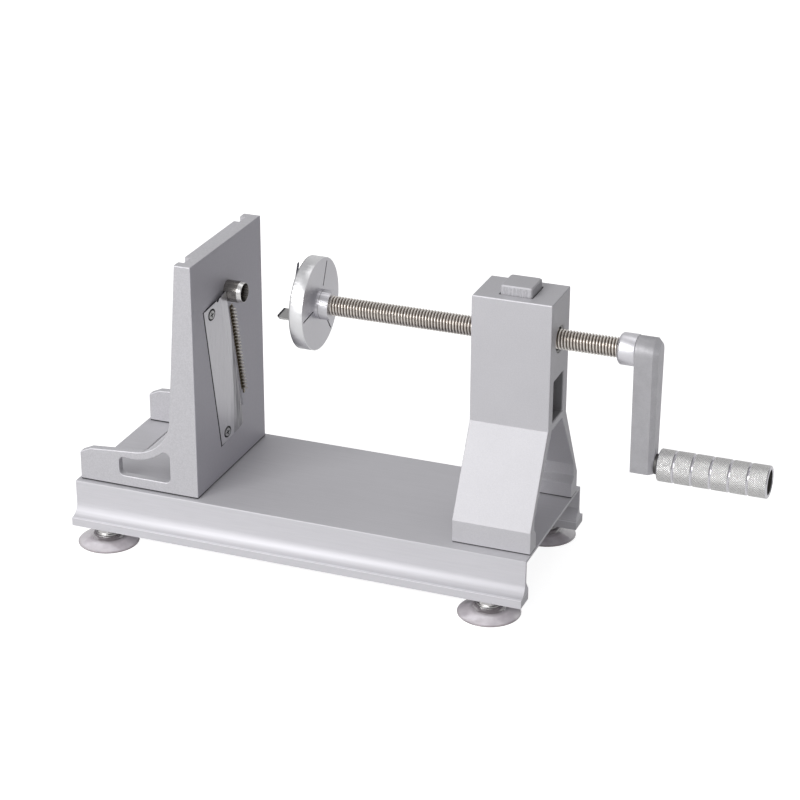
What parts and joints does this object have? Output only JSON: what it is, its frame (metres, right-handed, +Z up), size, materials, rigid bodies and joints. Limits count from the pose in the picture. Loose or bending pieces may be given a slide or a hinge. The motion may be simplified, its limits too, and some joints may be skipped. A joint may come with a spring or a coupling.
{
  "type": "vegetable shredder",
  "caption": "Hand-cranked vegetable shredder: a lead screw drives a pronged disc towards a blade stand on a channel base with suction feet.",
  "frame": {"origin": "on the table, under the centre of the part's bounding box", "axes": "+X from the blade stand to the crank handle, +Y across the channel, +Z up"},
  "size_m": [0.5554, 0.1924, 0.2475],
  "materials": {
    "channel_aluminium": "satin anodised",
    "stand_coat": "fine textured silver-grey coating",
    "arm_coat": "textured grey coating",
    "turned_aluminium": "turned",
    "blade_steel": "satin",
    "screw_steel": "rolled and polished",
    "bright_steel": "bright",
    "nut_brass": "machined",
    "cup_rubber": "soft, slightly see-through"
  },
  "bodies": {
    "base": {"base_channel": "channel_aluminium", "blade_stand": "stand_coat", "slicing_blade": "blade_steel", "blade_screws": "bright_steel", "comb_blade": "blade_steel", "coring_tube": "blade_steel", "tube_nut": "bright_steel", "stand_bolts": "bright_steel", "tower": "stand_coat", "tower_bolts": "bright_steel", "suction_cup_1": "cup_rubber", "suction_cup_2": "cup_rubber", "suction_cup_3": "cup_rubber", "suction_cup_4": "cup_rubber", "foot_studs": "bright_steel", "foot_washers": "bright_steel", "foot_nuts": "bright_steel", "button_spring": "bright_steel"},
    "carriage": {"crank_collar": "turned_aluminium"},
    "crank": {"lead_screw": "screw_steel", "drive_disc": "turned_aluminium", "prong_1": "blade_steel", "prong_2": "blade_steel", "prong_3": "blade_steel", "hub_set_screw": "bright_steel", "crank_arm": "arm_coat", "arm_set_screw": "bright_steel", "axle_bolt": "bright_steel", "grip_spacer": "bright_steel"},
    "grip": {"crank_grip": "turned_aluminium"},
    "button": {"release_button": "stand_coat", "half_nut": "nut_brass"}
  },
  "joints": [
    {"name": "screw_travel", "type": "slide", "parent": "base", "child": "carriage", "axis": [1, 0, 0], "range_m": [-0.0426, 0.1176]},
    {"name": "crank_turn", "type": "hinge", "parent": "carriage", "child": "crank", "pos_m": [0.1638, 0, 0.2052], "axis": [1, 0, 0], "range_deg": [-6120, 16920]},
    {"name": "grip_spin", "type": "hinge", "parent": "crank", "child": "grip", "pos_m": [0.2019, 0, 0.1139], "axis": [1, 0, 0], "continuous": true},
    {"name": "release_button", "type": "slide", "parent": "base", "child": "button", "axis": [0, 0, -1], "range_m": [0, 0.0045], "stiffness_N_per_m": 800, "springref_m": -0.005, "deforming": ["button_spring"]}
  ],
  "couplings": [
    {"joint": "screw_travel", "follows": "crank_turn", "m_per_rad": 0.00039789}
  ]
}
